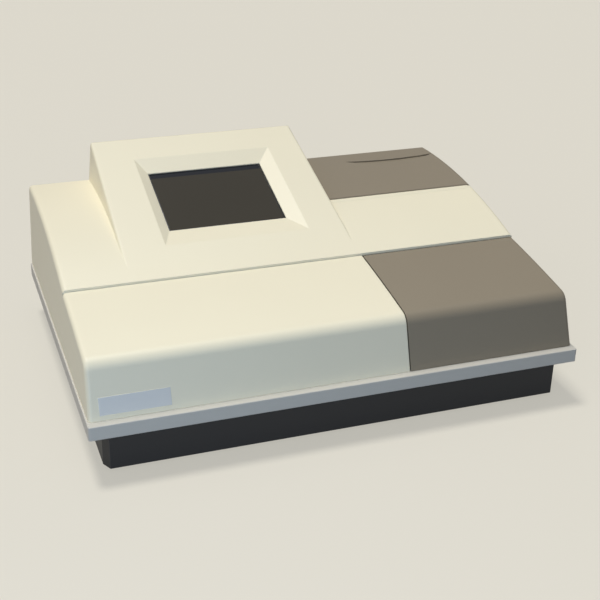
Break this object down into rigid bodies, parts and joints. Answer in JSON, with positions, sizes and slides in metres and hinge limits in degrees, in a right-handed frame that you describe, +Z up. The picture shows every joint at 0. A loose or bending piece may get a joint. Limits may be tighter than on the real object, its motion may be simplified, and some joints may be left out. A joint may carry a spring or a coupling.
{
  "type": "microplate reader",
  "caption": "Bench microplate reader: arched case on an inset base, raised wedge screen housing, hinged front lid over a sliding plate carrier and a hinged rear lamp cover.",
  "frame": {"origin": "centre of the footprint on the bench, under the feet", "axes": "+X to the operator's right along the width, +Y to the back, +Z up"},
  "size_m": [0.45, 0.336, 0.1749],
  "materials": {
    "cream_plastic": "fine satin moulding",
    "rim_plastic": "fine satin moulding",
    "grey_plastic": "satin moulding",
    "base_plastic": "textured moulding",
    "foot_rubber": "matt rubber",
    "steel": "zinc plated",
    "screw_steel": "machine screws",
    "aluminium": "machined",
    "black_aluminium": "black anodised",
    "rod_steel": "ground",
    "motor": "black can",
    "belt_rubber": "moulded belt",
    "tray_plastic": "satin",
    "board_green": "solder mask",
    "chip_black": "moulded packages",
    "optic_glass": "polished",
    "filter_glass": "coated",
    "sensor": "moulded",
    "fibre": "jacketed fibre",
    "ceramic_white": "ceramic, stood in for by matt plastic",
    "screen_glass": "touch film over glass",
    "lcd_metal": "pressed frame",
    "supply_case": "perforated case",
    "black_plastic": "moulded",
    "fan_plastic": "moulded",
    "brass": "plated"
  },
  "bodies": {
    "case": {"base_screws": "screw_steel", "base_tray": "base_plastic", "bay_tray": "tray_plastic", "board_components": "chip_black", "board_standoffs": "brass", "chassis_plate": "steel", "condenser_lens": "optic_glass", "cover_hinge_rod": "rod_steel", "cover_screws": "screw_steel", "detector_block": "black_aluminium", "detector_board": "board_green", "display_bracket": "steel", "display_screws": "screw_steel", "drive_belt": "belt_rubber", "drive_motor": "motor", "fan_frame": "fan_plastic", "fan_guard": "rod_steel", "fibre_bundle": "fibre", "filter_bracket": "steel", "guide_rods": "rod_steel", "head_lenses": "optic_glass", "idler_bracket": "steel", "inlet_blades": "brass", "lamp_bulb": "optic_glass", "lamp_house": "aluminium", "lamp_socket": "ceramic_white", "lamp_stand": "steel", "lcd_module": "lcd_metal", "lid_hinge_rod": "rod_steel", "main_board": "board_green", "main_cover": "cream_plastic", "motor_bracket": "steel", "optics_head": "black_aluminium", "photodiodes": "sensor", "power_inlet": "black_plastic", "power_supply": "supply_case", "rear_panel": "steel", "rim_frame": "rim_plastic", "rod_supports": "aluminium", "rubber_feet": "foot_rubber", "serial_port": "steel", "side_plate_left": "steel", "side_plate_right": "steel", "switch_frame": "black_plastic", "touch_panel": "screen_glass", "usb_port": "steel", "wheel_motor": "motor"},
    "front_lid": {"front_lid": "grey_plastic"},
    "rear_cover": {"rear_cover": "grey_plastic"},
    "carrier": {"plate_carrier": "black_aluminium", "finger_pin": "rod_steel"},
    "plate_finger": {"plate_finger": "steel"},
    "drive": {"drive_pulley": "aluminium", "drive_shaft": "rod_steel"},
    "idler": {"idler_pulley": "aluminium"},
    "filter_wheel": {"filter_wheel": "black_aluminium", "light_filters": "filter_glass", "wheel_shaft": "rod_steel"},
    "fan_rotor": {"fan_rotor": "fan_plastic"},
    "power_rocker": {"power_rocker": "black_plastic"}
  },
  "joints": [
    {"name": "front_lid_hinge", "type": "hinge", "parent": "case", "child": "front_lid", "pos_m": [0.14, -0.046, 0.103], "axis": [-1, 0, 0], "range_deg": [0, 80]},
    {"name": "rear_cover_hinge", "type": "hinge", "parent": "case", "child": "rear_cover", "pos_m": [0.14, 0.059, 0.1246], "axis": [1, 0, 0], "range_deg": [0, 60]},
    {"name": "carrier_slide", "type": "slide", "parent": "case", "child": "carrier", "axis": [0, 1, 0], "range_m": [0, 0.1295]},
    {"name": "plate_finger_pivot", "type": "hinge", "parent": "carrier", "child": "plate_finger", "pos_m": [0.20598, -0.122, 0.0722], "axis": [0, 0, -1], "range_deg": [0, 8], "stiffness_Nm_per_rad": 0.004, "springref_deg": -17.19},
    {"name": "drive_pulley_spin", "type": "hinge", "parent": "case", "child": "drive", "pos_m": [0.0655, 0.125, 0.065], "axis": [1, 0, 0], "range_deg": [0, 900]},
    {"name": "idler_pulley_spin", "type": "hinge", "parent": "case", "child": "idler", "pos_m": [0.0655, -0.08, 0.065], "axis": [1, 0, 0], "range_deg": [0, 900]},
    {"name": "filter_wheel_spin", "type": "hinge", "parent": "case", "child": "filter_wheel", "pos_m": [0.148, 0.1, 0.107], "axis": [0, 1, 0], "continuous": true},
    {"name": "fan_rotor_spin", "type": "hinge", "parent": "case", "child": "fan_rotor", "pos_m": [-0.075, 0.155, 0.09], "axis": [0, 1, 0], "continuous": true},
    {"name": "power_rocker_tilt", "type": "hinge", "parent": "case", "child": "power_rocker", "pos_m": [-0.126, 0.162, 0.084], "axis": [-1, 0, 0], "range_deg": [0, 24]}
  ],
  "couplings": [
    {"joint": "drive_pulley_spin", "follows": "carrier_slide", "rad_per_m": 121.21},
    {"joint": "idler_pulley_spin", "follows": "carrier_slide", "rad_per_m": 121.21}
  ]
}
